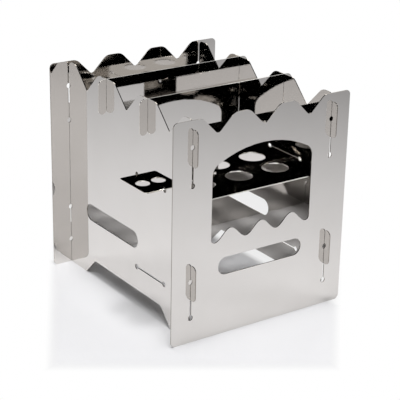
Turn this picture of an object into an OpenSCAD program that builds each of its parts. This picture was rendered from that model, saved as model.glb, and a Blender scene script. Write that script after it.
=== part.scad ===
// Flat-pack hobo stove: seven laser-cut stainless sheets that hook and slot together, with no
// fasteners. The side panels hang in the rear panel, the front panel drops over their hooks, the
// fire tray is trapped by its tabs and two pot supports lap into the teeth of the side panels.
// Millimetres. The origin is on the ground in the middle of the base and the fuel door faces -Y.

/* [Stove] */
// Height from the ground to the tips of the teeth
stove_h = 182; // [165:1:210]
// Distance between the middle planes of the two side panels
side_spacing = 132; // [120:1:150]
// Reach of the front and rear panels beyond the middle planes of the side panels
panel_overhang = 17.8; // [14:0.1:24]
// Distance between the middle planes of the front and rear panels
panel_spacing = 185; // [172:1:210]
// Thickness of every sheet
sheet_t = 0.8; // [0.6:0.1:1.2]
// Radius of the outer corners of the front and rear panels
panel_r = 4; // [2:0.5:8]

/* [Teeth] */
// Distance between the V notches in the top of the front and rear panels
front_pitch = 43.5; // [40:0.5:46]
// Depth of the V notches in the top of the front and rear panels, to the point of the V
front_notch = 14.6; // [9:0.1:16]
// Depth of the V notches in the top of the side panels, to the point of the V
side_notch = 18.2; // [13:0.1:21]
// Radius where the flanks of the notches meet the tops of the teeth
tooth_r = 9; // [2:0.5:10]
// Radius in the bottoms of the front and rear panels' notches
front_notch_r = 3; // [0.5:0.5:4]
// Radius in the bottoms of the side panels' notches
side_notch_r = 1; // [0.5:0.5:4]
// Radius of the top corners of the side panels
side_r = 4; // [1:0.5:5]

/* [Hooks and slots] */
// Distance from the ground to the lower slots, and from the tips to the upper ones
slot_inset = 21.2; // [19:0.2:26]
// Length of a slot between the centres of its relief holes
slot_l = 30.4; // [26:0.4:34]
// Radius of the relief holes at the ends of slots and slits
relief_r = 2.2; // [1.2:0.1:2.6]
// Reach of a hook beyond the middle plane of the panel that it holds
hook_reach = 6.8; // [6.5:0.1:9]
// Radius of the outer corners of a hook
hook_r = 4; // [1:0.5:4]
// Radius of the corner of a hook's tongue next to the panel
hook_lead_r = 1.5; // [0.5:0.5:1.5]
// Play on each side of a sheet in the slot or slit that it passes through
slot_gap = 0.25; // [0.15:0.05:0.4]
// Play on each face of a panel between a hook's tongue and the side panel
hook_gap = 0.2; // [0.1:0.05:0.3]
// Play between the length of a hook and of the slot that it passes through
pass_gap = 1; // [0.5:0.5:3]
// Set-back of a side panel's edge beyond the last hook on it, where the edge runs to a corner
corner_gap = 1; // [0.5:0.1:1.5]
// Play between a neck or a lap joint and the end of the slot that it seats in
seat_gap = 0.2; // [0.1:0.05:0.4]

/* [Fuel door] */
// Width of the door
door_w = 95.6; // [80:0.2:104]
// Height of the troughs of the wavy sill above the ground
door_sill_z = 79.2; // [78:0.1:86]
// Height of sheet left between the crown of the door and the tips of the teeth
door_head = 28.4; // [24:0.2:36]
// Radius of the door's crown
door_crown_r = 91; // [65:1:140]
// Radius between the crown and the upright sides
door_corner_r = 10; // [5:1:14]
// Height of the waves along the sill
wave_h = 10; // [6:0.5:12]
// Radius between the sill's end troughs and the upright sides
wave_end_r = 3.5; // [2:0.5:5]

/* [Draught vents] */
// Length of the vent in each of the four walls
vent_l = 81.2; // [60:0.2:84]
// Height of a vent
vent_h = 14.6; // [10:0.2:16]
// Height of a vent's middle above the ground
vent_z = 58; // [55:0.5:64]
// Distance of a side panel's vent behind the middle of that panel
side_vent_offset = 23.4; // [10:0.2:30]

/* [Feet] */
// Length of a side panel's foot along the ground
foot_l = 25.8; // [18:0.2:34]
// Height of a side panel's raised edge between its feet
foot_rise = 15; // [8:0.5:20]
// Radius of the corners between the feet
foot_r = 3; // [1:0.5:5]
// Radius of the outer corner of a foot
heel_r = 1.5; // [0.5:0.5:3]

/* [Fire tray] */
// Height of the tray's middle plane above the ground
tray_z = 115.4; // [104:0.2:124]
// Height of the spare slits, for a tray set low
low_tray_z = 35.5; // [28:0.5:42]
// Play between the tray and the front and rear panels
tray_gap = 0.8; // [0.4:0.1:2]
// Play between the tray and each side panel
tray_side_gap = 0.3; // [0.2:0.1:0.6]
// Radius of the tray's corners
tray_r = 3; // [1:0.5:6]
// Width of a tab
tab_w = 38.5; // [28:0.5:44]
// Play on each side of a tab in its slit
tab_gap = 0.9; // [0.3:0.1:1.2]
// Distance of a tab's end inside the edges of the front and rear panels
tab_inset = 0.4; // [0.2:0.1:0.8]
// Distance of the tabs in front of the tray's middle
tab_offset = 35.8; // [28:0.2:40]
// Radius of the tabs' corners
tab_r = 2.5; // [1:0.5:6]
// Radius of the pull hole in a tab
pull_hole_r = 5.75; // [3:0.25:6.25]
// Distance of a pull hole's middle beyond the middle plane of its side panel
pull_hole_reach = 7.7; // [7:0.1:8.5]
// Radius of the draught holes
draught_r = 11; // [7:0.5:12]
// Distance between draught holes across the stove
draught_pitch_x = 36; // [27:0.5:38]
// Distance between draught holes from front to rear
draught_pitch_y = 30.8; // [26:0.2:34]

/* [Pot supports] */
// Height of a pot support strip
support_h = 30; // [24:1:36]
// Reach of a support's ears beyond the middle plane of the side panels
ear_reach = 7.8; // [6:0.1:11]
// Height of an ear's foot above the lower edge of the strip
ear_rise = 1; // [0.2:0.2:4]
// Radius of an ear's top corner
ear_r = 5; // [2:0.5:6]
// Play on each face of a sheet in the lap joints
lap_gap = 0.15; // [0.1:0.05:0.3]

/* [Hidden] */

// Fineness of circles, and of the arcs and waves in an outline
$fn = 64;
arc_step = 6;
wave_points = 16;

// Colours of the sheets as the daylight shows them
wall_colour = [0.80, 0.79, 0.77];
inner_colour = [0.62, 0.61, 0.60];

// Overrun that every cut shares
cut = sheet_t;

// Counts that give the stove its pattern
front_notches = 3;
side_notches = 3;
door_waves = 3;
draught_columns = 3;
draught_rows = 5;

// Places that several sheets share
front_y = -panel_spacing / 2;
rear_y = panel_spacing / 2;
side_x = side_spacing / 2;
slot_w = sheet_t + 2 * slot_gap;
notch_w = sheet_t + 2 * hook_gap;
lap_w = sheet_t + 2 * lap_gap;
slot_mids = [slot_inset + slot_l / 2, stove_h - slot_inset - slot_l / 2];
side_pitch = panel_spacing / side_notches;
support_ys = [-side_pitch / 2, side_pitch / 2];
lap_h = support_h / 2;
side_edge_y = panel_spacing / 2 - notch_w / 2;

// Share of an ear's width that its two foot corners each take up
ear_foot_share = 0.49;

// Unit vector along v
function unit(v) = v / norm(v);

// Arc of radius r that rounds the corner b of the path a, b, c
function fillet(a, b, c, r) =
    r == 0 ? [b] :
    let (
        to_a = unit(a - b),
        to_c = unit(c - b),
        half = acos(to_a * to_c) / 2,
        centre = b + unit(to_a + to_c) * r / sin(half),
        middle = atan2(b.y - centre.y, b.x - centre.x),
        turn = cross(to_a, to_c) < 0 ? 90 - half : half - 90,
        steps = ceil(2 * abs(turn) / arc_step)
    )
    [for (i = [0:steps])
        let (angle = middle + turn * (2 * i / steps - 1))
        centre + r * [cos(angle), sin(angle)]];

// Outline through corners that are each given as x, y and radius
function rounded(corners) =
    let (n = len(corners), at = [for (c = corners) [c.x, c.y]])
    [for (i = [0:n - 1])
        each fillet(at[(i + n - 1) % n], at[i], at[(i + 1) % n], corners[i][2])];

// Points of an arc about a centre, from one angle to another
function arc(centre, r, from, to) =
    let (steps = ceil(abs(to - from) / arc_step))
    [for (i = [0:steps])
        let (angle = from + (to - from) * i / steps)
        centre + r * [cos(angle), sin(angle)]];

// Path without its two end points, where it meets arcs that hold them
function inside(path) = [for (i = [1:len(path) - 2]) path[i]];

// Corners of a row of V notches with 45 degree flanks, from right to left along a top edge
function notch_row(count, pitch, depth, top, bottom_r) =
    [for (i = [0:count - 1])
        let (x = pitch * ((count - 1) / 2 - i))
        each [[x + depth, top, tooth_r], [x, top - depth, bottom_r], [x - depth, top, tooth_r]]];

// Upright sheet across the stove, drawn as x and z
module cross_sheet(y) {
    translate([0, y, 0]) rotate([90, 0, 0]) linear_extrude(sheet_t, center = true) children();
}

// Upright sheet along the stove, drawn as y and z
module long_sheet(x) {
    translate([x, 0, 0]) rotate([90, 0, 90]) linear_extrude(sheet_t, center = true) children();
}

// Round-ended opening, l long and h high
module stadium(l, h) {
    square([l - h, h], center = true);
    for (side = [-1, 1]) translate([side * (l - h) / 2, 0]) circle(h / 2);
}

// Narrow slot for a sheet, with a relief hole at each end
module relieved_slot(l) {
    square([l, slot_w], center = true);
    for (end = [-1, 1]) translate([end * l / 2, 0]) circle(relief_r);
}

// Outline that the front and rear panels share, with its vent and its four slots
module wall_outline() {
    half = side_x + panel_overhang;
    difference() {
        polygon(rounded(concat(
            [[-half, 0, panel_r], [half, 0, panel_r], [half, stove_h, panel_r]],
            notch_row(front_notches, front_pitch, front_notch, stove_h, front_notch_r),
            [[-half, stove_h, panel_r]])));
        translate([0, vent_z]) stadium(vent_l, vent_h);
        for (x = [-side_x, side_x], z = slot_mids)
            translate([x, z]) rotate(90) relieved_slot(slot_l);
    }
}

// Arched fuel door over a sill of waves
module door_outline() {
    half = door_w / 2;
    crown_z = stove_h - door_head - door_crown_r;
    corner_x = half - door_corner_r;
    reach = door_crown_r - door_corner_r;
    corner_z = crown_z + sqrt(reach * reach - corner_x * corner_x);
    corner_angle = acos(corner_x / reach);
    end_x = half - wave_end_r;
    end_z = door_sill_z + wave_end_r;
    pitch = 2 * end_x / door_waves;
    steps = door_waves * wave_points;
    sill = [for (i = [0:steps])
        let (x = 2 * end_x * i / steps - end_x)
        [x, door_sill_z + wave_h / 2 * (1 - cos(360 * (x + end_x) / pitch))]];
    polygon(concat(
        inside(sill),
        arc([end_x, end_z], wave_end_r, -90, 0),
        arc([corner_x, corner_z], door_corner_r, 0, corner_angle),
        inside(arc([0, crown_z], door_crown_r, corner_angle, 180 - corner_angle)),
        arc([-corner_x, corner_z], door_corner_r, 180 - corner_angle, 180),
        arc([-end_x, end_z], wave_end_r, 180, 270)));
}

module rear_panel() {
    color(wall_colour) cross_sheet(rear_y) wall_outline();
}

module front_panel() {
    color(wall_colour) cross_sheet(front_y) difference() {
        wall_outline();
        door_outline();
    }
}

// Corners of a hook on the front edge of a side panel, from its tongue down to the edge below it.
// The neck fills the upper half of the slot and the tongue stands up in front of the panel.
function hook(slot_mid, edge_below) =
    let (
        neck_top = slot_mid + slot_l / 2 + relief_r - seat_gap,
        tongue_top = slot_mid + slot_l - pass_gap,
        tongue_y = -side_edge_y - notch_w,
        outer_y = front_y - hook_reach
    )
    [[-side_edge_y, neck_top, 0], [tongue_y, neck_top, 0], [tongue_y, tongue_top, hook_lead_r],
     [outer_y, tongue_top, hook_r], [outer_y, slot_mid, hook_r], [edge_below, slot_mid, 0]];

// Corners turned half round about the middle of a side panel
function half_turn(corners) = [for (c = corners) [-c.x, stove_h - c.y, c[2]]];

// Outline of a side panel: its rear edge is its front edge turned half round
module side_outline() {
    foot = side_edge_y - foot_l;
    raised = foot - foot_rise;
    corner_y = side_edge_y - corner_gap;
    front_edge = concat(hook(slot_mids[1], -side_edge_y), hook(slot_mids[0], -corner_y));
    difference() {
        polygon(rounded(concat(
            [[-corner_y, 0, heel_r], [-foot, 0, foot_r], [-raised, foot_rise, foot_r],
             [raised, foot_rise, foot_r], [foot, 0, foot_r], [side_edge_y, 0, heel_r]],
            half_turn(front_edge),
            [[corner_y, stove_h, side_r]],
            notch_row(side_notches, side_pitch, side_notch, stove_h, side_notch_r),
            [[-side_edge_y, stove_h, side_r]],
            front_edge)));
        translate([side_vent_offset, vent_z]) stadium(vent_l, vent_h);
        for (z = [tray_z, low_tray_z])
            translate([-tab_offset, z]) relieved_slot(tab_w + 2 * tab_gap);
        for (y = support_ys)
            translate([y - lap_w / 2, stove_h - lap_h - seat_gap / 2]) square([lap_w, lap_h + cut]);
    }
}

module left_side_panel() {
    color(wall_colour) long_sheet(-side_x) side_outline();
}

module right_side_panel() {
    color(wall_colour) long_sheet(side_x) side_outline();
}

// Grate with a tab through a slit in each side panel and a pull hole in each tab
module fire_tray() {
    half_x = side_x - sheet_t / 2 - tray_side_gap;
    half_y = panel_spacing / 2 - sheet_t / 2 - tray_gap;
    tab_x = side_x + panel_overhang - tab_inset;
    tab_front = -tab_offset - tab_w / 2;
    tab_rear = -tab_offset + tab_w / 2;
    hole_x = side_x + pull_hole_reach;
    color(inner_colour) translate([0, 0, tray_z]) linear_extrude(sheet_t, center = true)
    difference() {
        polygon(rounded([
            [-half_x, -half_y, tray_r], [half_x, -half_y, tray_r],
            [half_x, tab_front, 0], [tab_x, tab_front, tab_r],
            [tab_x, tab_rear, tab_r], [half_x, tab_rear, 0],
            [half_x, half_y, tray_r], [-half_x, half_y, tray_r],
            [-half_x, tab_rear, 0], [-tab_x, tab_rear, tab_r],
            [-tab_x, tab_front, tab_r], [-half_x, tab_front, 0]]));
        for (column = [0:draught_columns - 1], row = [0:draught_rows - 1])
            translate([
                draught_pitch_x * (column - (draught_columns - 1) / 2),
                draught_pitch_y * (row - (draught_rows - 1) / 2)
            ]) circle(draught_r);
        for (side = [-1, 1]) translate([side * hole_x, -tab_offset]) circle(pull_hole_r);
    }
}

// Strip that carries the pot, open from below where it laps over the two side panels
module pot_support(y) {
    half = side_x + ear_reach;
    inner = side_x - lap_w / 2;
    outer = side_x + lap_w / 2;
    ear_foot_r = (half - outer) * ear_foot_share;
    lap = lap_h + seat_gap / 2;
    color(inner_colour) cross_sheet(y) translate([0, stove_h - support_h]) polygon(rounded([
        [-half, ear_rise, ear_foot_r], [-outer, ear_rise, ear_foot_r], [-outer, lap, 0],
        [-inner, lap, 0], [-inner, 0, 0], [inner, 0, 0], [inner, lap, 0],
        [outer, lap, 0], [outer, ear_rise, ear_foot_r], [half, ear_rise, ear_foot_r],
        [half, support_h, ear_r], [-half, support_h, ear_r]]));
}

module front_pot_support() {
    pot_support(support_ys[0]);
}

module rear_pot_support() {
    pot_support(support_ys[1]);
}

rear_panel();
left_side_panel();
right_side_panel();
fire_tray();
front_panel();
front_pot_support();
rear_pot_support();
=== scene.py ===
import bmesh
import bpy
import numpy as np
from mathutils import Matrix, Vector


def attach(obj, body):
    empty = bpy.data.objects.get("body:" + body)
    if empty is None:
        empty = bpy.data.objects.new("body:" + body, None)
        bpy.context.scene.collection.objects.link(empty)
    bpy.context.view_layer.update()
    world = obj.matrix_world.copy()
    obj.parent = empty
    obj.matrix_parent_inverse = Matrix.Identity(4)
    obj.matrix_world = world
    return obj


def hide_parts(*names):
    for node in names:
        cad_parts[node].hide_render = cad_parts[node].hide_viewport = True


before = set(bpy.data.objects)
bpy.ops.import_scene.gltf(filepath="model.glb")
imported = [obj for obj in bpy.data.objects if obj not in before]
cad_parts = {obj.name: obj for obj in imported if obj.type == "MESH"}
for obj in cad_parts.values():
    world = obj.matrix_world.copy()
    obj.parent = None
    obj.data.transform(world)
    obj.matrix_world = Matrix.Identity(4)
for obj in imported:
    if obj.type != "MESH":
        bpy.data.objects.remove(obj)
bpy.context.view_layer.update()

# Rear panel. 0.8 mm stainless sheet with a bright cold-rolled face, cut by laser, so its edge is
# duller than the face, finely ribbed through the sheet and a little tinted by the heat. Its four
# slots take the hooks on the side panels' rear edges.


def linear(hex_colour):
    """Linear RGBA of an sRGB hex colour: a channel c up to 0.04045 becomes c / 12.92, and a
    brighter one becomes (c + 0.055) / 1.055 to the power 2.4."""
    c = np.array([int(hex_colour[i : i + 2], 16) for i in (1, 3, 5)]) / 255
    rgb = np.where(c <= 0.04045, c / 12.92, ((c + 0.055) / 1.055) ** 2.4)
    return (*rgb.tolist(), 1.0)


def add(tree, kind, settings=None, inputs=None):
    """Adds a node, sets its properties, and sets or links its inputs: a socket is linked, any
    other value is written on the input."""
    node = tree.nodes.new("ShaderNode" + kind)
    for name, value in (settings or {}).items():
        setattr(node, name, value)
    for name, value in (inputs or {}).items():
        if isinstance(value, bpy.types.NodeSocket):
            tree.links.new(value, node.inputs[name])
        else:
            node.inputs[name].default_value = value
    return node


def bright_rolled_face(across, along):
    """Bright annealed cold-rolled stainless: nearly a mirror, with a faint grain along the rolling
    direction, slow waves in the sheet, and a slight cloudiness from handling. along is the axis
    that the sheet was rolled on. across, the axis through it, only tells the names apart."""
    clear_steel, cloudy_steel = "#d9d6d3", "#d3d0cc"
    clear_roughness, cloudy_roughness = 0.015, 0.035
    # The grain is 0.05 to 0.1 mm wide in the real sheet: drawn 0.6 mm wide here so that it shows
    grain_width, grain_length, grain_height = 0.0006, 0.045, 0.000004
    # Marks of handling, where the steel is slightly duller
    cloud_size = 0.030
    # The sheet's waves are a few hundredths of a millimetre deep: about a quarter of this height,
    # as the noise stays near its middle value
    wave_length, wave_height = 0.070, 0.00012

    material = bpy.data.materials.new(f"bright_rolled_stainless_{across}{along}")
    material.use_nodes = True
    tree = material.node_tree
    shader = tree.nodes["Principled BSDF"]
    shader.inputs["Metallic"].default_value = 1.0
    place = add(tree, "TexCoord").outputs["Object"]
    stretch = [1 / grain_length if axis == along else 1 / grain_width for axis in "xyz"]
    grain_place = add(tree, "Mapping", inputs={"Vector": place, "Scale": stretch})
    grain = add(
        tree,
        "TexNoise",
        inputs={"Vector": grain_place.outputs["Vector"], "Scale": 1.0, "Detail": 2.0},
    )
    clouds = add(
        tree, "TexNoise", inputs={"Vector": place, "Scale": 1 / cloud_size, "Detail": 3.0}
    )
    waves = add(
        tree, "TexNoise", inputs={"Vector": place, "Scale": 1 / wave_length, "Detail": 0.0}
    )
    tone = add(
        tree,
        "Mix",
        {"data_type": "RGBA"},
        {"Factor": clouds.outputs["Fac"], "A": linear(clear_steel), "B": linear(cloudy_steel)},
    )
    tree.links.new(tone.outputs["Result"], shader.inputs["Base Color"])
    sheen = add(
        tree,
        "MapRange",
        inputs={
            "Value": clouds.outputs["Fac"],
            "To Min": clear_roughness,
            "To Max": cloudy_roughness,
        },
    )
    tree.links.new(sheen.outputs["Result"], shader.inputs["Roughness"])
    wavy = add(
        tree,
        "Bump",
        inputs={"Height": waves.outputs["Fac"], "Distance": wave_height, "Strength": 1.0},
    )
    grained = add(
        tree,
        "Bump",
        inputs={
            "Height": grain.outputs["Fac"],
            "Distance": grain_height,
            "Strength": 1.0,
            "Normal": wavy.outputs["Normal"],
        },
    )
    tree.links.new(grained.outputs["Normal"], shader.inputs["Normal"])
    return material


def laser_cut_edge(finish, across, seen_shade, tinted):
    """Laser-cut stainless edge: fine ribs through the sheet left by the beam, a little duller than
    the face, from bare steel to the straw tint that the heat leaves. finish names it, and across
    is the axis through the sheet's thickness."""
    # The ribs are 0.15 mm apart in the real cut: drawn 0.35 mm apart so that they show
    rib_pitch, rib_length, rib_height = 0.00035, 0.006, 0.000004
    top_roughness, groove_roughness = 0.03, 0.08
    tint_size = 0.012

    material = bpy.data.materials.new(f"{finish}_stainless_{across}")
    material.use_nodes = True
    tree = material.node_tree
    shader = tree.nodes["Principled BSDF"]
    shader.inputs["Metallic"].default_value = 1.0
    place = add(tree, "TexCoord").outputs["Object"]
    stretch = [1 / rib_length if axis == across else 1 / rib_pitch for axis in "xyz"]
    rib_place = add(tree, "Mapping", inputs={"Vector": place, "Scale": stretch})
    ribs = add(
        tree,
        "TexNoise",
        inputs={"Vector": rib_place.outputs["Vector"], "Scale": 1.0, "Detail": 1.0},
    )
    heat = add(
        tree, "TexNoise", inputs={"Vector": place, "Scale": 1 / tint_size, "Detail": 1.0}
    )
    tint = add(
        tree,
        "Mix",
        {"data_type": "RGBA"},
        {"Factor": heat.outputs["Fac"], "A": linear(seen_shade), "B": linear(tinted)},
    )
    tree.links.new(tint.outputs["Result"], shader.inputs["Base Color"])
    satin = add(
        tree,
        "MapRange",
        inputs={
            "Value": ribs.outputs["Fac"],
            "To Min": top_roughness,
            "To Max": groove_roughness,
        },
    )
    tree.links.new(satin.outputs["Result"], shader.inputs["Roughness"])
    ribbed = add(
        tree,
        "Bump",
        inputs={"Height": ribs.outputs["Fac"], "Distance": rib_height, "Strength": 1.0},
    )
    tree.links.new(ribbed.outputs["Normal"], shader.inputs["Normal"])
    return material


def cut_sheet(name, node, body, across, face, edge):
    """A CAD node's sheet as its own piece. Its loose triangles are merged at their shared corners
    and joined again into whole flat faces. A face whose normal lies along the across axis is
    rolled face and any other is cut edge. A small bevel breaks the sharp arris of the cut."""
    merge_distance, arris_width = 1e-6, 0.00006
    flat_angle, sharp_angle, arris_angle = np.radians(0.5), np.radians(25), np.radians(50)
    square_on = 0.99
    face_slot, edge_slot = 0, 1

    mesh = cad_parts[node].data.copy()
    mesh.name = name
    mesh.materials.clear()
    mesh.materials.append(face)
    mesh.materials.append(edge)
    work = bmesh.new()
    work.from_mesh(mesh)
    bmesh.ops.remove_doubles(work, verts=work.verts, dist=merge_distance)
    bmesh.ops.dissolve_limit(
        work, angle_limit=flat_angle, verts=work.verts, edges=work.edges
    )
    axis = "xyz".index(across)
    for part in work.faces:
        rolled = abs(part.normal[axis]) > square_on
        part.material_index = face_slot if rolled else edge_slot
        part.smooth = True
    work.to_mesh(mesh)
    work.free()
    mesh.set_sharp_from_angle(angle=sharp_angle)
    piece = bpy.data.objects.new(name, mesh)
    bpy.context.scene.collection.objects.link(piece)
    arris = piece.modifiers.new("arris", "BEVEL")
    arris.width = arris_width
    arris.segments = 1
    arris.limit_method = "ANGLE"
    arris.angle_limit = arris_angle
    arris.material = edge_slot
    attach(piece, body)
    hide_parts(node)


cut_steel, heat_tint = "#98928a", "#7f7971"
wall_face = bright_rolled_face("y", "z")
wall_edge = laser_cut_edge("laser_cut", "y", cut_steel, heat_tint)
cut_sheet("rear_wall_sheet", "rear_panel", "rear_wall", "y", wall_face, wall_edge)

# Left and right side panels. The same sheet, rolled from front to rear, with hooks on its front
# and rear edges, a row of teeth along the top and slits for the tray's tabs at two heights.
side_face = bright_rolled_face("x", "y")
side_edge = laser_cut_edge("laser_cut", "x", cut_steel, heat_tint)
for side in ("left", "right"):
    cut_sheet(
        f"{side}_side_sheet", f"{side}_side_panel", "side_walls", "x", side_face, side_edge
    )

# Fire tray. A level sheet with fifteen draught holes, held by a tab through a slit in each side
# panel, with a pull hole in each tab. Its edges are deburred, so brighter than the walls' edges.
deburred_steel, faint_tint = "#e2dfd9", "#d5d1ca"
tray_face = bright_rolled_face("z", "x")
tray_edge = laser_cut_edge("deburred", "z", deburred_steel, faint_tint)
cut_sheet("fire_tray_sheet", "fire_tray", "side_walls", "z", tray_face, tray_edge)

# Front panel. The rear panel's twin with an arched fuel door over a wavy sill. It drops over the
# side panels' front hooks.
cut_sheet("front_wall_sheet", "front_panel", "front_wall", "y", wall_face, wall_edge)

# Front and rear pot supports. Strips that lap down into the side panels' teeth, with an ear
# outside each, rolled along their length. Their edges are deburred like the tray's.
support_face = bright_rolled_face("y", "x")
support_edge = laser_cut_edge("deburred", "y", deburred_steel, faint_tint)
for place in ("front", "rear"):
    cut_sheet(
        f"{place}_pot_strip",
        f"{place}_pot_support",
        f"{place}_support",
        "y",
        support_face,
        support_edge,
    )

# Table. A pale matt surface whose colour is painted darker with the distance to the front right, as
# painted shade for the lamps' fall-off. The camera sees a grey area as wide as the stove, on white,
# and the sheets mirror a table that ends in white.
half_floor = 4.0
floor_mesh = bpy.data.meshes.new("floor")
floor_mesh.from_pydata(
    [
        (-half_floor, -half_floor, 0),
        (half_floor, -half_floor, 0),
        (half_floor, half_floor, 0),
        (-half_floor, half_floor, 0),
    ],
    [],
    [(0, 1, 2, 3)],
)
floor = bpy.data.objects.new("floor", floor_mesh)
bpy.context.scene.collection.objects.link(floor)
table = bpy.data.materials.new("pale_table")
floor_mesh.materials.append(table)
table.use_nodes = True
tree = table.node_tree
tree.nodes.clear()
spot = add(tree, "TexCoord").outputs["Object"]

# The grey area has its own right and front on the table. Its middle is a little right of the
# stove's, and its sides close in towards the front, by this share of the way
grey_right, grey_front = (0.819, -0.574, 0.0), (-0.540, -0.842, 0.0)
grey_shift, grey_taper = 0.0025, 0.095
# From the stove's middle, where the grey begins to fade and where it has become white
side_fade, front_fade, rear_fade = (0.113, 0.127), (0.14, 0.162), (-0.22, -0.32)
rightward = add(tree, "VectorMath", {"operation": "DOT_PRODUCT"}, {0: spot, 1: grey_right})
frontward = add(tree, "VectorMath", {"operation": "DOT_PRODUCT"}, {0: spot, 1: grey_front})
off_middle = add(
    tree, "Math", {"operation": "SUBTRACT"}, {0: rightward.outputs["Value"], 1: grey_shift}
)
aside = add(tree, "Math", {"operation": "ABSOLUTE"}, {0: off_middle.outputs["Value"]})
tapered = add(
    tree,
    "Math",
    {"operation": "MULTIPLY_ADD"},
    {0: frontward.outputs["Value"], 1: grey_taper, 2: aside.outputs["Value"]},
)
side_white, front_white, rear_white = [
    add(
        tree,
        "MapRange",
        {"interpolation_type": "SMOOTHSTEP"},
        {"Value": distance.outputs["Value"], "From Min": fade[0], "From Max": fade[1]},
    )
    for distance, fade in (
        (tapered, side_fade),
        (frontward, front_fade),
        (frontward, rear_fade),
    )
]
end_white = add(
    tree,
    "Math",
    {"operation": "MAXIMUM"},
    {0: front_white.outputs["Result"], 1: rear_white.outputs["Result"]},
)
seen_white = add(
    tree,
    "Math",
    {"operation": "MAXIMUM"},
    {0: side_white.outputs["Result"], 1: end_white.outputs["Value"]},
)

# Painted light: past the right and rear panels the table, seen directly, glows at the level of its
# lit grey, so the stove's shadow is gone there
right_rear_corner, painted_light_fade = (0.066, 0.092, 0.0), 0.012
from_corner = add(
    tree, "VectorMath", {"operation": "SUBTRACT"}, {0: spot, 1: right_rear_corner}
)
outside = add(
    tree,
    "VectorMath",
    {"operation": "MAXIMUM"},
    {0: from_corner.outputs["Vector"], 1: (0.0, 0.0, 0.0)},
)
past_panels = add(tree, "VectorMath", {"operation": "LENGTH"}, {0: outside.outputs["Vector"]})
painted_light_past_panels = add(
    tree,
    "MapRange",
    {"interpolation_type": "SMOOTHSTEP"},
    {"Value": past_panels.outputs["Value"], "From Min": 0.0, "From Max": painted_light_fade},
)
seen_flat = add(
    tree,
    "Math",
    {"operation": "MAXIMUM"},
    {0: seen_white.outputs["Value"], 1: painted_light_past_panels.outputs["Result"]},
)

# In the sheets' reflections the table turns white between these distances from the stove
mirrored_fade = (0.8, 2.1)
far_off = add(tree, "VectorMath", {"operation": "LENGTH"}, {0: spot})
mirrored_white = add(
    tree,
    "MapRange",
    {"interpolation_type": "SMOOTHSTEP"},
    {
        "Value": far_off.outputs["Value"],
        "From Min": mirrored_fade[0],
        "From Max": mirrored_fade[1],
    },
)
rays = add(tree, "LightPath")
direct = add(
    tree,
    "Math",
    {"operation": "MULTIPLY"},
    {0: seen_flat.outputs["Value"], 1: rays.outputs["Is Camera Ray"]},
)
mirrored = add(
    tree,
    "Math",
    {"operation": "MULTIPLY"},
    {0: mirrored_white.outputs["Result"], 1: rays.outputs["Is Glossy Ray"]},
)
whiten = add(
    tree,
    "Math",
    {"operation": "ADD", "use_clamp": True},
    {0: direct.outputs["Value"], 1: mirrored.outputs["Value"]},
)

# Painted shade: the matt table's colour darkens with the distance to the front right, where the
# lamps' light falls off, and a little where the camera sees it directly
pale_table, painted_shade_table = "#e6e6e8", "#c8c8ca"
front_right, falloff_from, falloff_to, seen_painted_shade = (0.6, -0.8, 0.0), 0.1, 0.75, 0.35
# The level of the painted light past the panels, where the white has 1
painted_light_level = 0.84
reach = add(tree, "VectorMath", {"operation": "DOT_PRODUCT"}, {0: spot, 1: front_right})
painted_falloff = add(
    tree,
    "MapRange",
    inputs={"Value": reach.outputs["Value"], "From Min": falloff_from, "From Max": falloff_to},
)
seen_shade = add(
    tree, "Math", {"operation": "MULTIPLY"}, {0: rays.outputs["Is Camera Ray"], 1: seen_painted_shade}
)
# How far the table's colour goes towards the painted shade colour
painted_shade_share = add(
    tree,
    "Math",
    {"operation": "MAXIMUM"},
    {0: painted_falloff.outputs["Result"], 1: seen_shade.outputs["Value"]},
)
tone = add(
    tree,
    "Mix",
    {"data_type": "RGBA"},
    {"Factor": painted_shade_share.outputs["Value"], "A": linear(pale_table), "B": linear(painted_shade_table)},
)
matt = add(tree, "BsdfDiffuse", inputs={"Color": tone.outputs["Result"]})
flat_level = add(
    tree,
    "MapRange",
    inputs={"Value": seen_white.outputs["Value"], "To Min": painted_light_level, "To Max": 1.0},
)
white_level = add(
    tree,
    "Math",
    {"operation": "MAXIMUM"},
    {0: flat_level.outputs["Result"], 1: rays.outputs["Is Glossy Ray"]},
)
white = add(
    tree,
    "Emission",
    inputs={"Color": (1, 1, 1, 1), "Strength": white_level.outputs["Value"]},
)
lit = add(
    tree,
    "MixShader",
    inputs={
        "Fac": whiten.outputs["Value"],
        1: matt.outputs["BSDF"],
        2: white.outputs["Emission"],
    },
)
table_out = add(tree, "OutputMaterial")
tree.links.new(lit.outputs["Shader"], table_out.inputs["Surface"])

# Room. White walls up to 16.5 degrees above the table and a dark ceiling from 18 degrees, so sheets
# that look up are dark and upright ones pale. The camera sees it white, and it lights the matt
# table a little.
wall_top, ceiling_foot = np.sin(np.radians(16.5)), np.sin(np.radians(18))
# At the right rear the wall reaches 26 degrees for the first two reflections, and only 15 for later
# ones, as they come off sheets that are not quite flat. The rises are in the sine of the angle
right_rear, rise_from, rise_full = (0.57, 0.82, 0.0), 0.75, 0.88
early_depth, early_rise, late_rise = 2.5, 0.15, -0.03
matt_light = 0.12
room = bpy.data.worlds.new("studio_room")
bpy.context.scene.world = room
room.use_nodes = True
tree = room.node_tree
tree.nodes.clear()
outward = add(tree, "TexCoord").outputs["Generated"]
height = add(tree, "SeparateXYZ", inputs={"Vector": outward}).outputs["Z"]
rays = add(tree, "LightPath")
rearward = add(tree, "VectorMath", {"operation": "DOT_PRODUCT"}, {0: outward, 1: right_rear})
at_rear = add(
    tree,
    "MapRange",
    {"interpolation_type": "SMOOTHSTEP"},
    {"Value": rearward.outputs["Value"], "From Min": rise_from, "From Max": rise_full},
)
early = add(
    tree, "Math", {"operation": "LESS_THAN"}, {0: rays.outputs["Ray Depth"], 1: early_depth}
)
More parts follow.
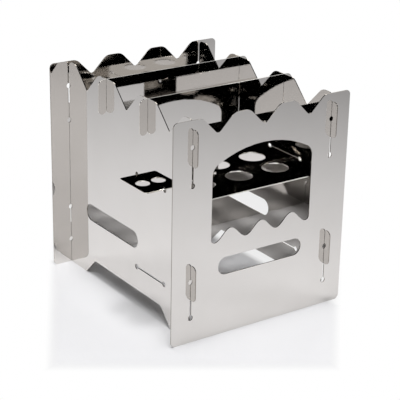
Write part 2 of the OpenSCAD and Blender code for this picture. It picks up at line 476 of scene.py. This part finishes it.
step = add(
    tree,
    "MapRange",
    inputs={"Value": early.outputs["Value"], "To Min": late_rise, "To Max": early_rise},
)
rise = add(
    tree,
    "Math",
    {"operation": "MULTIPLY"},
    {0: at_rear.outputs["Result"], 1: step.outputs["Result"]},
)
lowered = add(tree, "Math", {"operation": "SUBTRACT"}, {0: height, 1: rise.outputs["Value"]})
wall = add(
    tree,
    "MapRange",
    {"interpolation_type": "SMOOTHSTEP"},
    {
        "Value": lowered.outputs["Value"],
        "From Min": wall_top,
        "From Max": ceiling_foot,
        "To Min": 1.0,
        "To Max": 0.0,
    },
)
for_glossy = add(
    tree,
    "Math",
    {"operation": "MULTIPLY"},
    {0: wall.outputs["Result"], 1: rays.outputs["Is Glossy Ray"]},
)
for_camera = add(
    tree,
    "Math",
    {"operation": "MAXIMUM"},
    {0: for_glossy.outputs["Value"], 1: rays.outputs["Is Camera Ray"]},
)
for_glass = add(
    tree,
    "Math",
    {"operation": "MAXIMUM"},
    {0: for_camera.outputs["Value"], 1: rays.outputs["Is Transmission Ray"]},
)
for_matt = add(
    tree, "Math", {"operation": "MULTIPLY"}, {0: rays.outputs["Is Diffuse Ray"], 1: matt_light}
)
shine = add(
    tree,
    "Math",
    {"operation": "ADD"},
    {0: for_glass.outputs["Value"], 1: for_matt.outputs["Value"]},
)
glow = add(
    tree,
    "Background",
    inputs={"Color": (1, 1, 1, 1), "Strength": shine.outputs["Value"]},
)
room_out = add(tree, "OutputWorld")
tree.links.new(glow.outputs["Background"], room_out.inputs["Surface"])

# Lamps. Four soft boxes light the stove: two from above, one from its left front and one from its
# right rear. A fifth adds little light, but draws the white glints on the slopes that face it.


def soft_box(name, place, size, level):
    """A square lamp aimed at the stove's foot. level is what it adds to a white card there: the
    lamp's power is level times pi squared times its distance cubed, divided by its height."""
    place = Vector(place)
    lamp = bpy.data.lights.new(name, "AREA")
    lamp.size = size
    lamp.energy = level * np.pi**2 * place.length**3 / place.z
    held = bpy.data.objects.new(name, lamp)
    bpy.context.scene.collection.objects.link(held)
    held.location = place
    held.rotation_euler = place.to_track_quat("Z", "Y").to_euler()


soft_box("overhead_box", place=(-0.08, -0.12, 1.1), size=0.2, level=0.48)
soft_box("low_overhead_box", place=(-0.11, -0.02, 0.9), size=0.25, level=0.14)
soft_box("left_front_box", place=(-0.35, -0.35, 1.0), size=0.6, level=0.41)
soft_box("right_rear_box", place=(0.5, 0.5, 0.9), size=0.5, level=0.21)
soft_box("glint_box", place=(0.64, -0.44, 0.91), size=0.25, level=0.03)

# Camera, at the photograph's angle, on a 122 mm lens and 1.14 m from the point it looks at, which
# is near the stove's middle. The roll turns the picture a little.
azimuth, elevation, roll = np.radians([-35.0, 21.51, 1.13])
looked_at, distance_off = Vector((0.00605, 0, 0.07329)), 1.13684
back = Vector(
    (
        np.sin(azimuth) * np.cos(elevation),
        -np.cos(azimuth) * np.cos(elevation),
        np.sin(elevation),
    )
)
level_right = (-back).cross(Vector((0, 0, 1))).normalized()
level_up = level_right.cross(-back)
right = np.cos(roll) * level_right + np.sin(roll) * level_up
up = np.cos(roll) * level_up - np.sin(roll) * level_right
lens = bpy.data.cameras.new("camera")
lens.sensor_width = 36.0
lens.lens = 121.79
lens.clip_start = 0.01
lens.clip_end = 50.0
camera = bpy.data.objects.new("camera", lens)
bpy.context.scene.collection.objects.link(camera)
turn = Matrix((right, up, back)).transposed().to_4x4()
camera.matrix_world = Matrix.Translation(looked_at + distance_off * back) @ turn
bpy.context.scene.camera = camera

bpy.context.scene.view_settings.view_transform = "Standard"
